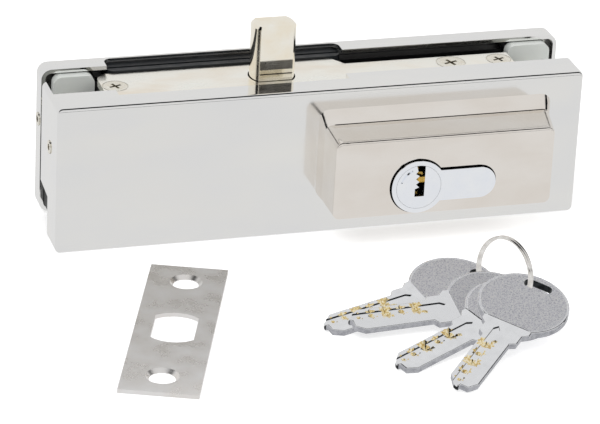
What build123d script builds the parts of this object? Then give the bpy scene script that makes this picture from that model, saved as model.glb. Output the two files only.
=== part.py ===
from build123d import *
from math import asin, atan2, cos, degrees, radians, sin, sqrt, tan
import os

os.makedirs("parts", exist_ok=True)

# Corner lock for a glass door, in millimetres. X runs along the lock, Y from the
# front cover to the rear cover and Z along the bolt. The origin is on the middle
# plane of the glass, at the middle of the edge that the lock stands on.

# Covers, pressed from polished stainless sheet
cover_length = 165.0
cover_height = 47.0
lock_depth = 36.0
cover_sheet = 1.2
front_bend = 1.4
front_corner = 1.6
front_flange = 12.0
end_flange = 21.6
rear_bend = 1.8
rear_corner = 3.2
rear_flange = 8.0
rear_shift = 1.2
rear_lift = 1.0
bite_height = 13.6
bite_slope = 1.4
notch_inset = 21.3
notch_past_bolt = 25.4
notch_lip = 1.3
notch_corner = 2.5
notch_gap = 1.0
notch_end_gap = 0.4
notch_side_gap = 0.3

# Glass slot, clamp plates and gaskets
glass_slot = 10.0
gasket_thickness = 1.2
bar_height = 10.8
plate_fit = 0.2
plate_web = 4.0
boss_width = 13.8
boss_inset = 1.9
rear_boss_face = 7.4
boss_top_gap = 0.5
boss_corner = 2.5
bar_corner = 1.8
seal_groove = 1.0

# Lock case and the strip on its top
case_depth = 19.0
case_wall = 1.2
case_lift = 0.6
pillar_radius = 3.6
lug_reach = 4.0
pillar_inset = 14.8
pillar_offset = 8.0
strip_thickness = 2.2
strip_drop = 0.2
strip_step = 12.6
strip_slope = 3.4
strip_narrow = 9.4
strip_corner = 4.0
end_gap = 0.4
strip_overhang = 0.2

# Bolt, its tail and its guide
bolt_from_plug = 37.2
bolt_width = 13.8
bolt_flats = 9.2
bolt_bevel = 0.8
tail_thickness = 3.0
tail_bar = 8.4
tail_wing = 9.0
talon_lip = 2.6
guide_wall = 3.4
slide_fit = 0.1
mouth_fit = 0.35
tail_fit = 0.15
stop_gap = 1.2
tail_foot = 0.2
tail_top_gap = 0.9

# Cylinder of the euro profile
plug_inset = 57.5
plug_height = 21.0
profile_round = 17.0
profile_tail = 10.0
profile_height = 33.0
cylinder_stand = 1.0
cylinder_screw_offset = 0.8
cylinder_back = 9.9
cam_slot = 10.0
plug_diameter = 14.0
plug_fit = 0.06
neck_diameter = 10.0
cam_hub = 15.0
cam_radius = 13.5
finger_width = 4.4
finger_depth = 6.4
cam_fit = 0.2
talon_slack = 1.3
keyway_depth = 26.0
pin_count = 5
pin_pitch = 4.0
pin_diameter = 2.7
profile_fit = 0.3

# Raised housing round the cylinder, on the front cover
housing_before_plug = 26.2
housing_past_plug = 43.0
housing_low = 11.5
housing_high = 36.7
housing_depth = 16.3
housing_wall = 1.5
housing_draft = 2.4
flare_depth = 4.0
flare_height = 3.5
seam_width = 0.35
housing_corner = 2.2
housing_edge = 1.0

# Strike plate, lying in front of the lock
strike_length = 80.0
strike_width = 23.0
strike_thickness = 1.3
strike_hole_pitch = 60.0
strike_hole = 7.6
strike_sink = 9.7
strike_mouth_width = 12.6
strike_mouth_length = 18.6
strike_x = -60.2
strike_y = -73.7
strike_turn = -21.0

# Keys and their ring, lying in front of the lock. Lengths run from the head's centre.
key_head = 26.8
key_thickness = 2.3
key_flat = 11.1
key_step = 0.15
key_shoulder_width = 15.0
key_neck_width = 11.8
key_neck_end = 18.0
key_blade_width = 8.5
key_reach = 43.8
key_tip_step = 0.8
key_tip_length = 3.6
key_tip_side = 2.4
key_tip_nose = 3.2
key_groove_width = 2.0
key_groove_depth = 0.7
key_groove_offset = 1.65
dimple_start = 22.7
dimple_pitch = 4.65
dimple_large = 4.6
dimple_small = 2.8
key_hole_length = 8.8
key_hole_width = 3.8
key_hole_reach = 9.1
key_hole_offset = -0.4
ring_radius = 10.6
ring_wire = 1.0
ring_squeeze = 0.16

# Screws: shank diameter and head diameter
small_shank, small_head = 4.0, 7.5
large_shank, large_head = 5.0, 8.8
clamp_shank, clamp_head, clamp_head_height = 5.0, 8.5, 5.0
grub_diameter, grub_length, grub_height, grub_inset = 4.0, 6.0, 30.7, 10.4
clamp_drop, clamp_rise = 13.7, 7.0
housing_screw_length, housing_screw_inset = 14.0, (8.0, 6.0)
forend_screw_length, forend_screw_inset = 10.5, 3.9
head_gap, head_relief = 0.2, 0.6
case_screw_grip = 4.5
hole_clearance = 0.2

# Places worked out from the sizes above
half_length = cover_length / 2
plug_place = half_length - plug_inset
bolt_place = plug_place - bolt_from_plug
housing_left = plug_place - housing_before_plug
housing_right = plug_place + housing_past_plug
notch_start = notch_inset - half_length
notch_end = bolt_place + notch_past_bolt
half_depth = lock_depth / 2
inner_half_length = half_length - cover_sheet
inner_half_depth = half_depth - cover_sheet
inner_top = cover_height - cover_sheet
plate_half_length = inner_half_length - plate_fit
plate_face = inner_half_depth - plate_fit
plate_foot = cover_sheet + plate_fit
half_slot = glass_slot / 2
gasket_face = half_slot + gasket_thickness
bar_top = plate_foot + bar_height
boss_far = plate_half_length - boss_inset
boss_near = boss_far - boss_width
case_length = 2 * (boss_near - end_gap)
case_half_length = case_length / 2 - strip_overhang
case_half_depth = case_depth / 2
case_bottom = bar_top + case_lift
case_top = inner_top - strip_drop - strip_thickness
case_inside = case_half_depth - case_wall
floor_inside = case_bottom + case_wall
roof_inside = case_top - case_wall
strip_top = case_top + strip_thickness
boss_middle = (boss_near + boss_far) / 2
boss_top = inner_top - boss_top_gap
bolt_radius = bolt_width / 2
bolt_throw = roof_inside - floor_inside - stop_gap - tail_foot - tail_bar - tail_top_gap
bolt_top = strip_top + bolt_throw
bolt_foot = floor_inside + stop_gap + bolt_throw
tail_low = bolt_foot + tail_foot
tail_high = tail_low + tail_bar
finger_radius = finger_width / 2
finger_reach = cam_radius - finger_radius
cam_swing = degrees(asin(bolt_throw / 2 / finger_reach))
talon_rest = plug_height + bolt_throw / 2
talon_half = finger_radius + talon_slack
wing_right = plug_place - cam_hub / 2 - 0.5
wing_left = wing_right - tail_wing
talon_left = plug_place - cam_radius - 0.5
wing_low = talon_rest - talon_half - talon_lip
pocket_low = wing_low - bolt_throw - 0.4
pocket_left = wing_left - 1.0
pocket_right = plug_place - finger_reach * cos(radians(cam_swing)) + finger_radius + 2.0
pocket_half = finger_depth / 2 + 0.5
tail_centre = plug_place - profile_round / 2 + profile_height - profile_tail / 2
cylinder_screw_x = tail_centre + cylinder_screw_offset
face_front = -half_depth - housing_depth
cylinder_reach = cylinder_stand - face_front
front_grub_y = -half_depth + grub_inset
rear_grub_y = half_depth - rear_flange / 2 - cover_sheet / 2
clamp_heights = (grub_height - clamp_drop, grub_height + clamp_rise)
pillar_x = case_half_length - pillar_inset
pillar_low = floor_inside + pillar_radius + 0.9
pillar_high = roof_inside - pillar_radius - 1.3
case_screw_places = (
    (-pillar_x, pillar_low),
    (-pillar_x, pillar_high),
    (tail_centre + pillar_offset + 4.0, pillar_low),
    (tail_centre + pillar_offset, pillar_high),
)
forend_screw_x = case_half_length - forend_screw_inset
housing_screw_x = (housing_left + housing_screw_inset[0], housing_right - housing_screw_inset[1])


def side_plane(x):
    """Sketch plane seen from the right end: its x is Y and its y is Z."""
    return Plane(origin=(x, 0, 0), x_dir=(0, 1, 0), z_dir=(1, 0, 0))


def face_plane(y):
    """Sketch plane seen from the front: its x is X and its y is Z."""
    return Plane(origin=(0, y, 0), x_dir=(1, 0, 0), z_dir=(0, -1, 0))


def finish(builder, name):
    """Labels a finished piece and writes its file."""
    builder.part.label = name
    export_step(builder.part, "parts/" + name + ".step")


def rounded_box(x0, x1, z0, z1, radius):
    """Rounded rectangle between two corners of the active face sketch."""
    with Locations(((x0 + x1) / 2, (z0 + z1) / 2)):
        RectangleRounded(x1 - x0, z1 - z0, radius)


def block(x0, x1, y0, y1, z0, z1, mode=Mode.ADD):
    """Box between two corners, joined to the active part."""
    with Locations(((x0 + x1) / 2, (y0 + y1) / 2, (z0 + z1) / 2)):
        Box(x1 - x0, y1 - y0, z1 - z0, mode=mode)


def rod(start, direction, diameter, length, mode=Mode.ADD):
    """Round rod or hole from a start point along a direction."""
    with Locations(Plane(origin=start, z_dir=direction).location):
        Cylinder(
            diameter / 2, length, align=(Align.CENTER, Align.CENTER, Align.MIN), mode=mode
        )


def profile_sketch(y, gap):
    """Euro profile lying on its side, grown by a gap all round."""
    with BuildSketch(face_plane(y)) as sketch:
        with Locations((plug_place, plug_height)):
            Circle(profile_round / 2 + gap)
        with Locations(((plug_place + tail_centre) / 2, plug_height)):
            Rectangle(tail_centre - plug_place, profile_tail + 2 * gap)
        with Locations((tail_centre, plug_height)):
            Circle(profile_tail / 2 + gap)
    return sketch.sketch


def bolt_sketch(z, gap):
    """Round bar with two flats, grown by a gap all round."""
    with BuildSketch(Plane.XY.offset(z)) as sketch:
        with Locations((bolt_place, 0)):
            Circle(bolt_radius + gap)
            Rectangle(
                bolt_width + 4 * gap, bolt_flats + 2 * gap, mode=Mode.INTERSECT
            )
    return sketch.sketch


def screw(shank, head, length, cross=True):
    """Countersunk screw with a cross recess, its head's top at the origin, pointing down."""
    sink = (head - shank) / 2
    with BuildPart() as piece:
        with Locations((0, 0, -sink)):
            Cone(shank / 2, head / 2, sink, align=(Align.CENTER, Align.CENTER, Align.MIN))
        rod((0, 0, -sink), (0, 0, -1), shank, length - sink)
        if cross:
            for turn in (0, 90):
                with Locations(Location((0, 0, 0), (0, 0, turn + 20))):
                    Box(
                        head * 0.52,
                        head * 0.11,
                        sink * 0.9,
                        align=(Align.CENTER, Align.CENTER, Align.MAX),
                        mode=Mode.SUBTRACT,
                    )
    return piece.part


# Front cover: a shallow pressed box. Its left end flange reaches further back above the glass,
# and its right one stops at the top flange's rear edge, where the photograph shows none.
with BuildPart() as front_cover:
    with BuildSketch(face_plane(-half_depth + end_flange)):
        rounded_box(-half_length, half_length, 0, cover_height, front_corner)
    extrude(amount=end_flange)
    fillet(front_cover.faces().sort_by(Axis.Y)[0].edges(), front_bend)
    with BuildSketch(face_plane(-half_depth + end_flange)):
        rounded_box(
            -inner_half_length,
            inner_half_length,
            cover_sheet,
            inner_top,
            front_corner - cover_sheet,
        )
    extrude(amount=end_flange - cover_sheet, mode=Mode.SUBTRACT)
    flange_edge = -half_depth + front_flange
    end_edge = -half_depth + end_flange
    block(
        -inner_half_length,
        inner_half_length,
        flange_edge,
        end_edge + 1,
        -1,
        cover_height + 1,
        Mode.SUBTRACT,
    )
    block(
        notch_start - notch_gap,
        strip_step - strip_slope + notch_end_gap,
        -case_half_depth - notch_side_gap,
        flange_edge + 1,
        inner_top - 1,
        cover_height + 1,
        Mode.SUBTRACT,
    )
    block(
        inner_half_length - 1,
        half_length + 1,
        flange_edge,
        end_edge + 1,
        -1,
        cover_height + 1,
        Mode.SUBTRACT,
    )
    with BuildSketch(side_plane(-half_length - 1)):
        with BuildLine():
            Polyline(
                (flange_edge, -1),
                (flange_edge, bite_height),
                (end_edge, bite_height + bite_slope),
                (end_edge + 1, bite_height + bite_slope),
                (end_edge + 1, -1),
                close=True,
            )
        make_face()
    extrude(amount=cover_length + 2, mode=Mode.SUBTRACT)
    extrude(profile_sketch(-half_depth + cover_sheet, profile_fit), amount=cover_sheet, mode=Mode.SUBTRACT)
    for x in housing_screw_x:
        rod((x, -half_depth, plug_height), (0, 1, 0), small_shank + hole_clearance, cover_sheet, Mode.SUBTRACT)
    for side in (-1, 1):
        rod(
            (side * (half_length + 1), front_grub_y, grub_height),
            (-side, 0, 0),
            grub_diameter + hole_clearance,
            cover_sheet + 2,
            Mode.SUBTRACT,
        )
finish(front_cover, "front_cover")

# Rear cover: the same box, shallower, with a notch in its top flange for the wide part of the
# case. The clamp holds it a little higher and further right than the front cover.
with BuildPart() as rear_cover:
    rear_edge = half_depth - rear_flange
    with BuildSketch(face_plane(half_depth)):
        rounded_box(
            rear_shift - half_length,
            rear_shift + half_length,
            rear_lift,
            rear_lift + cover_height,
            rear_corner,
        )
    extrude(amount=rear_flange)
    fillet(rear_cover.faces().sort_by(Axis.Y)[-1].edges(), rear_bend)
    with BuildSketch(face_plane(inner_half_depth)):
        rounded_box(
            rear_shift - inner_half_length,
            rear_shift + inner_half_length,
            rear_lift + cover_sheet,
            rear_lift + inner_top,
            rear_corner - cover_sheet,
        )
    extrude(amount=rear_flange - cover_sheet, mode=Mode.SUBTRACT)
    with BuildSketch(Plane.XY.offset(rear_lift + inner_top - 0.5)):
        with Locations(((notch_start + notch_end) / 2, rear_edge)):
            RectangleRounded(
                notch_end - notch_start, 2 * (rear_flange - cover_sheet - notch_lip), notch_corner
            )
    extrude(amount=cover_sheet + 1, mode=Mode.SUBTRACT)
    for side in (-1, 1):
        rod(
            (rear_shift + side * (half_length + 1), rear_grub_y, grub_height),
            (-side, 0, 0),
            grub_diameter + hole_clearance,
            cover_sheet + 2,
            Mode.SUBTRACT,
        )
finish(rear_cover, "rear_cover")


def housing_solid(inset, y_front, y_base):
    """Stepped box that stands on the front cover, drawn in by an inset on every side."""
    seam_y = -half_depth - flare_depth
    with BuildPart() as solid:
        corner = max(housing_corner - inset, 0.3)
        with BuildSketch(face_plane(y_front)):
            rounded_box(
                housing_left + inset,
                housing_right - inset,
                housing_low + inset,
                housing_high - inset,
                corner,
            )
        with BuildSketch(face_plane(seam_y)):
            rounded_box(
                housing_left + inset,
                housing_right + housing_draft - inset,
                housing_low + inset,
                housing_high + 0.7 - inset,
                corner,
            )
        loft(ruled=True)
        with BuildSketch(face_plane(seam_y)):
            rounded_box(
                housing_left + inset,
                housing_right + housing_draft - inset,
                housing_low + inset,
                housing_high + 0.7 - inset,
                corner,
            )
        with BuildSketch(face_plane(y_base)):
            rounded_box(
                housing_left - 0.8 + inset,
                housing_right + flare_depth + inset * -1,
                housing_low + inset,
                housing_high + 0.7 + flare_height - inset,
                corner + 1.0,
            )
        loft(ruled=True)
    return solid.part


# Housing of the cylinder: a deep pressed box with a seam above its front part
with BuildPart() as cylinder_housing:
    add(housing_solid(0, face_front, -half_depth))
    fillet(cylinder_housing.faces().sort_by(Axis.Y)[0].edges(), housing_edge)
    add(housing_solid(housing_wall, face_front + housing_wall, -half_depth), mode=Mode.SUBTRACT)
    block(
        housing_left + 3,
        housing_right + 3,
        -half_depth - flare_depth - seam_width / 2,
        -half_depth - flare_depth + seam_width / 2,
        housing_high + 0.3,
        housing_high + 2,
        Mode.SUBTRACT,
    )
    for x in housing_screw_x:
        rod(
            (x, -half_depth, plug_height),
            (0, -1, 0),
            small_shank + 3.2,
            housing_depth - housing_wall,
        )
        rod((x, -half_depth, plug_height), (0, -1, 0), small_shank, housing_depth - 3, Mode.SUBTRACT)
    extrude(profile_sketch(-half_depth, profile_fit + 0.1), amount=housing_depth + 1, mode=Mode.SUBTRACT)
finish(cylinder_housing, "cylinder_housing")


def clamp_plate(side, boss_face, web_top, screw_cut, shift=0.0, lift=0.0):
    """Cast half of the clamp: a web, a foot bar at the glass and a boss at each end."""
    outer = side * plate_face
    foot = plate_foot + lift
    with BuildPart() as plate:
        block(
            shift - boss_near, shift + boss_near, *sorted((outer, outer - side * plate_web)), foot, web_top
        )
        with BuildSketch(face_plane(max(outer, side * gasket_face))):
            rounded_box(shift - plate_half_length, shift + plate_half_length, foot, bar_top, bar_corner)
        extrude(amount=plate_face - gasket_face)
        for end in (-1, 1):
            near = end * (boss_near + max(end * shift, 0))
            with BuildSketch(face_plane(max(outer, side * boss_face))):
                rounded_box(
                    *sorted((near, shift + end * boss_far)),
                    foot,
                    boss_top + lift,
                    boss_corner,
                )
            extrude(amount=abs(outer) - boss_face)
            for height in clamp_heights:
                screw_cut(end * boss_middle, height)
            rod(
                (shift + end * (boss_far + 1), front_grub_y if side < 0 else rear_grub_y, grub_height),
                (-end, 0, 0),
                grub_diameter,
                grub_length,
                Mode.SUBTRACT,
            )
    return plate.part


def front_cut(x, z):
    rod((x, 0, z), (0, -1, 0), clamp_shank, plate_face - 2, Mode.SUBTRACT)


def rear_cut(x, z):
    rod((x, 0, z), (0, 1, 0), clamp_shank + hole_clearance, half_depth, Mode.SUBTRACT)
    rod(
        (x, plate_face - clamp_head_height, z),
        (0, 1, 0),
        clamp_head + hole_clearance,
        clamp_head_height + 1,
        Mode.SUBTRACT,
    )


# Front clamp plate: carries the case on four pads
with BuildPart() as front_clamp_plate:
    add(clamp_plate(-1, gasket_face, case_top, front_cut))
    for x, z in case_screw_places:
        rod((x, -plate_face, z), (0, 1, 0), 9.0, plate_face - case_half_depth)
        rod((x, -case_half_depth, z), (0, -1, 0), small_shank, 6.0, Mode.SUBTRACT)
    extrude(profile_sketch(0, profile_fit), amount=half_depth, mode=Mode.SUBTRACT)
    for x in housing_screw_x:
        rod((x, 0, plug_height), (0, -1, 0), small_shank + hole_clearance, half_depth, Mode.SUBTRACT)
        rod(
            (x, -plate_face + plate_web - 2.0, plug_height),
            (0, 1, 0),
            small_head + hole_clearance,
            half_depth,
            Mode.SUBTRACT,
        )
finish(front_clamp_plate, "front_clamp_plate")

# Rear clamp plate: takes the heads of the clamp screws under the rear cover
seal_low = case_top - 7.0
seal_high = rear_lift + inner_top - 0.6
with BuildPart() as rear_clamp_plate:
    add(clamp_plate(1, rear_boss_face, case_top, rear_cut, rear_shift, rear_lift))
    block(
        notch_start - 0.2,
        notch_end + 0.2,
        case_half_depth,
        half_depth,
        seal_low - 0.2,
        cover_height,
        Mode.SUBTRACT,
    )
finish(rear_clamp_plate, "rear_clamp_plate")

# Notch seal: a moulded rubber bar behind the wide part of the case, with one groove along it
with BuildPart() as notch_seal:
    seal_front = case_half_depth + 0.3
    seal_rear = plate_face
    with BuildSketch(Plane.XY.offset(seal_low)):
        with Locations(((notch_start + notch_end) / 2, (seal_front + seal_rear) / 2)):
            RectangleRounded(notch_end - notch_start - 0.4, seal_rear - seal_front, notch_corner)
    extrude(amount=seal_high - seal_low)
    block(
        notch_start,
        notch_end,
        seal_front + 2.2,
        seal_front + 2.2 + seal_groove,
        seal_high - seal_groove,
        seal_high + 1,
        Mode.SUBTRACT,
    )
finish(notch_seal, "notch_seal")

# Gaskets: flat rubber strips on both faces that meet the glass
with BuildPart() as front_gasket:
    with BuildSketch(face_plane(-half_slot)):
        rounded_box(-plate_half_length, plate_half_length, plate_foot, bar_top, bar_corner)
    extrude(amount=gasket_thickness)
finish(front_gasket, "front_gasket")

with BuildPart() as rear_gasket:
    with BuildSketch(face_plane(gasket_face)):
        rounded_box(
            rear_shift - plate_half_length,
            rear_shift + plate_half_length,
            rear_lift + plate_foot,
            bar_top,
            bar_corner,
        )
    extrude(amount=gasket_thickness)
finish(rear_gasket, "rear_gasket")

# Clamp screws: four socket screws that draw the two clamp plates onto the glass
with BuildPart() as clamp_screws:
    for end in (-1, 1):
        for height in clamp_heights:
            x = end * boss_middle
            head_seat = plate_face - clamp_head_height
            rod((x, head_seat, height), (0, 1, 0), clamp_head, clamp_head_height - 0.2)
            rod((x, head_seat, height), (0, -1, 0), clamp_shank, head_seat + plate_face - 3)
            with BuildSketch(face_plane(plate_face - 0.2)):
                with Locations((x, height)):
                    RegularPolygon(clamp_shank * 0.46, 6)
            extrude(amount=2.6, mode=Mode.SUBTRACT)
finish(clamp_screws, "clamp_screws")


def grub_screws(y, shift):
    """Two socket grub screws that hold a cover to its clamp plate, one at each end."""
    with BuildPart() as pair:
        for end in (-1, 1):
            tip = shift + end * (half_length + 0.3)
            rod((tip, y, grub_height), (-end, 0, 0), grub_diameter, grub_length)
            with BuildSketch(Plane(origin=(tip, y, grub_height), z_dir=(-end, 0, 0))):
                RegularPolygon(grub_diameter * 0.27, 6)
            extrude(amount=1.8, mode=Mode.SUBTRACT)
    return pair


finish(grub_screws(front_grub_y, 0.0), "front_grub_screws")
finish(grub_screws(rear_grub_y, rear_shift), "rear_grub_screws")

# Housing screws: hold the housing and the front cover to the front clamp plate
with BuildPart() as housing_screws:
    seat = -plate_face + plate_web - 2.0
    for x in housing_screw_x:
        with Locations(Plane(origin=(x, seat + 2.0, plug_height), z_dir=(0, 1, 0)).location):
            add(screw(small_shank, small_head - 0.4, housing_screw_length))
finish(housing_screws, "housing_screws")

# Lock case: a pressed steel tray, open at the rear, with a pocket below for the talon
with BuildPart() as lock_case:
    block(
        -case_half_length,
        case_half_length,
        -case_half_depth,
        case_inside,
        case_bottom,
        case_top,
    )
    block(
        pocket_left - 1.0,
        pocket_right + 1.0,
        -pocket_half - 1.0,
        pocket_half + 1.0,
        pocket_low - 1.0,
        case_bottom,
    )
    block(
        -case_half_length + case_wall,
        case_half_length - case_wall,
        -case_inside,
        case_inside,
        floor_inside,
        roof_inside,
        Mode.SUBTRACT,
    )
    block(
        pocket_left,
        pocket_right,
        -pocket_half,
        pocket_half,
        pocket_low,
        floor_inside,
        Mode.SUBTRACT,
    )
    for side in (-1, 1):
        near = side * (forend_screw_x - lug_reach)
        far = side * (case_half_length - case_wall)
        block(*sorted((near, far)), -5.0, 5.0, case_top - forend_screw_length, roof_inside)
    for x, z in case_screw_places:
        rod((x, -case_inside, z), (0, 1, 0), 2 * pillar_radius, 2 * case_inside)
    for x, z in case_screw_places:
        rod((x, -half_depth, z), (0, 1, 0), small_shank + hole_clearance, lock_depth, Mode.SUBTRACT)
    for x in (-forend_screw_x, forend_screw_x):
        rod((x, 0, case_top), (0, 0, -1), small_shank, forend_screw_length, Mode.SUBTRACT)
    extrude(bolt_sketch(roof_inside, mouth_fit), amount=case_wall, mode=Mode.SUBTRACT)
    rod((cylinder_screw_x, 0, case_top), (0, 0, -1), large_shank + 0.6, case_wall, Mode.SUBTRACT)
    extrude(profile_sketch(case_half_depth, profile_fit), amount=case_depth, mode=Mode.SUBTRACT)
finish(lock_case, "lock_case")

# Case cover: the flat rear wall of the case
with BuildPart() as case_cover:
    block(-case_half_length, case_half_length, case_inside, case_half_depth, case_bottom, case_top)
    for x, z in case_screw_places:
        with Locations(Plane(origin=(x, case_half_depth, z), z_dir=(0, 1, 0)).location):
            Cylinder(small_shank / 2, 4 * case_wall, mode=Mode.SUBTRACT)
            Cone(
                small_shank / 2,
                small_shank / 2 + case_wall,
                case_wall,
                align=(Align.CENTER, Align.CENTER, Align.MAX),
                mode=Mode.SUBTRACT,
            )
    extrude(profile_sketch(case_half_depth, profile_fit), amount=case_wall, mode=Mode.SUBTRACT)
finish(case_cover, "case_cover")

# Case screws: close the case and fix it to the pads of the front clamp plate
with BuildPart() as case_screws:
    for x, z in case_screw_places:
        with Locations(Plane(origin=(x, case_half_depth, z), z_dir=(0, 1, 0)).location):
            add(screw(small_shank, small_shank + 2 * case_wall, case_depth + case_screw_grip))
finish(case_screws, "case_screws")

# Forend strip: the polished strip on the case, wide round the bolt and narrow beyond it
with BuildPart() as forend_strip:
    with BuildSketch(Plane.XY.offset(case_top)):
        half_narrow = strip_narrow / 2
        end = case_length / 2
        with BuildLine():
            Polyline(
                (-end, -case_half_depth),
                (strip_step - strip_slope, -case_half_depth),
                (strip_step, -half_narrow),
                (end, -half_narrow),
                (end, half_narrow),
                (strip_step, half_narrow),
                (strip_step - strip_slope, case_half_depth),
                (-end, case_half_depth),
                close=True,
            )
        make_face()
        fillet(vertices().group_by(Axis.X)[0], strip_corner)
    extrude(amount=strip_thickness)
    extrude(bolt_sketch(case_top, mouth_fit), amount=strip_thickness, mode=Mode.SUBTRACT)
    for x, shank, head in (
        (-forend_screw_x, small_shank, small_head),
        (forend_screw_x, small_shank, small_head),
        (cylinder_screw_x, large_shank, large_head),
    ):
        with Locations((x, 0, strip_top)):
            CounterSinkHole(shank / 2 + hole_clearance / 2, head / 2, strip_thickness, 90)
        rod((x, 0, strip_top), (0, 0, -1), head + 2 * head_gap, head_relief, Mode.SUBTRACT)
finish(forend_strip, "forend_strip")

# Forend screws: two cross-head screws at the ends of the strip
with BuildPart() as forend_screws:
    for x in (-forend_screw_x, forend_screw_x):
        with Locations((x, 0, strip_top)):
            add(screw(small_shank, small_head, forend_screw_length))
finish(forend_screws, "forend_screws")

# Cylinder screw: runs through the strip into the tail of the cylinder
cylinder_screw_length = strip_top - plug_height - profile_tail / 2 + 4.0
with BuildPart() as cylinder_screw:
    with Locations((cylinder_screw_x, 0, strip_top)):
        add(screw(large_shank, large_head, cylinder_screw_length))
finish(cylinder_screw, "cylinder_screw")

# Bolt guide: a zinc block round the lower bolt, slotted for the tail
guide_low = floor_inside
guide_high = roof_inside
spring_room = 2.3
with BuildPart() as bolt_guide:
    block(
        bolt_place - bolt_radius - guide_wall,
        bolt_place + bolt_radius + guide_wall,
        -case_inside,
        case_inside,
        guide_low,
        guide_high,
    )
    extrude(bolt_sketch(guide_low, slide_fit), amount=guide_high - guide_low, mode=Mode.SUBTRACT)
    block(
        bolt_place,
        bolt_place + bolt_radius + guide_wall + 1,
        -tail_thickness / 2 - tail_fit,
        tail_thickness / 2 + tail_fit,
        guide_low,
        guide_high,
        Mode.SUBTRACT,
    )
    block(
        bolt_place - 2.8,
        bolt_place + 2.8,
        0,
        bolt_flats / 2 + spring_room,
        guide_low + 2.5,
        guide_high - 2.5,
        Mode.SUBTRACT,
    )
finish(bolt_guide, "bolt_guide")

# Friction spring: a bowed leaf in the guide that rubs on the rear flat of the bolt
with BuildPart() as friction_spring:
    leaf = 0.4
    crown = bolt_flats / 2 + slide_fit
    heel = bolt_flats / 2 + spring_room - leaf
    low = guide_low + 3.0
    high = guide_high - 3.0
    middle = (low + high) / 2
    with BuildSketch(side_plane(bolt_place - 2.5)):
        with BuildLine():
            ThreePointArc((heel, low), (crown, middle), (heel, high))
            Line((heel, high), (heel + leaf, high))
            ThreePointArc((heel + leaf, high), (crown + leaf, middle), (heel + leaf, low))
            Line((heel + leaf, low), (heel, low))
        make_face()
    extrude(amount=5.0)
finish(friction_spring, "friction_spring")

# Bolt head: nickel-plated brass bar with two flats, slotted below for the tail
rivet_height = tail_low + tail_bar / 2
with BuildPart() as bolt_head:
    extrude(bolt_sketch(bolt_foot, 0), amount=bolt_top - bolt_foot)
    chamfer(bolt_head.faces().sort_by(Axis.Z)[-1].edges(), bolt_bevel)
    block(
        bolt_place - bolt_radius + 0.9,
        bolt_place + bolt_radius + 1,
        -tail_thickness / 2,
        tail_thickness / 2,
        bolt_foot - 1,
        tail_high,
        Mode.SUBTRACT,
    )
    rod((bolt_place, -bolt_flats, rivet_height), (0, 1, 0), 3.0, 2 * bolt_flats, Mode.SUBTRACT)
finish(bolt_head, "bolt_head")

# Bolt tail: a steel plate from the bolt to the talon that the cam pushes
with BuildPart() as bolt_tail:
    half_tail = tail_thickness / 2
    block(
        bolt_place - bolt_radius + 0.9, wing_right, -half_tail, half_tail, tail_low, tail_high
    )
    block(wing_left, wing_right, -half_tail, half_tail, wing_low, tail_high)
    block(
        talon_left,
        wing_right + 1,
        -half_tail,
        half_tail,
        talon_rest - talon_half,
        talon_rest + talon_half,
        Mode.SUBTRACT,
    )
    rod((bolt_place, -half_tail, rivet_height), (0, 1, 0), 3.0, tail_thickness, Mode.SUBTRACT)
finish(bolt_tail, "bolt_tail")

# Bolt rivet: pins the tail in the slot of the bolt head
with BuildPart() as bolt_rivet:
    rod((bolt_place, -bolt_flats / 2, rivet_height), (0, 1, 0), 3.0, bolt_flats)
finish(bolt_rivet, "bolt_rivet")

# Cylinder body: euro profile lying on its side, bored for the plug and its pins
pin_height = plug_height + 1.0
pin_rows = [-cylinder_reach + 3.6 + pin_pitch * row for row in range(pin_count)]
chamber_end = tail_centre - 1.0
plug_end = -cam_slot / 2 - 0.1
with BuildPart() as cylinder_body:
    extrude(
        profile_sketch(cylinder_back, 0),
        amount=cylinder_reach + cylinder_back,
    )
    block(
        plug_place - profile_round,
        plug_place + cam_hub / 2 + 3.5,
        -cam_slot / 2,
        cam_slot / 2,
        0,
        cover_height,
        Mode.SUBTRACT,
    )
    rod(
        (plug_place, -cylinder_reach - 1, plug_height),
        (0, 1, 0),
        plug_diameter + 2 * plug_fit,
        cylinder_reach + 1,
        Mode.SUBTRACT,
    )
    rod(
        (plug_place, 0, plug_height),
        (0, 1, 0),
        neck_diameter + 2 * plug_fit,
        cylinder_back + 1,
        Mode.SUBTRACT,
    )
    for y in pin_rows:
        rod((plug_place, y, pin_height), (1, 0, 0), pin_diameter + 0.1, chamber_end - plug_place, Mode.SUBTRACT)
    rod(
        (cylinder_screw_x, 0, cover_height),
        (0, 0, -1),
        large_shank,
        cover_height - strip_top + cylinder_screw_length,
        Mode.SUBTRACT,
    )
finish(cylinder_body, "cylinder_body")

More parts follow.
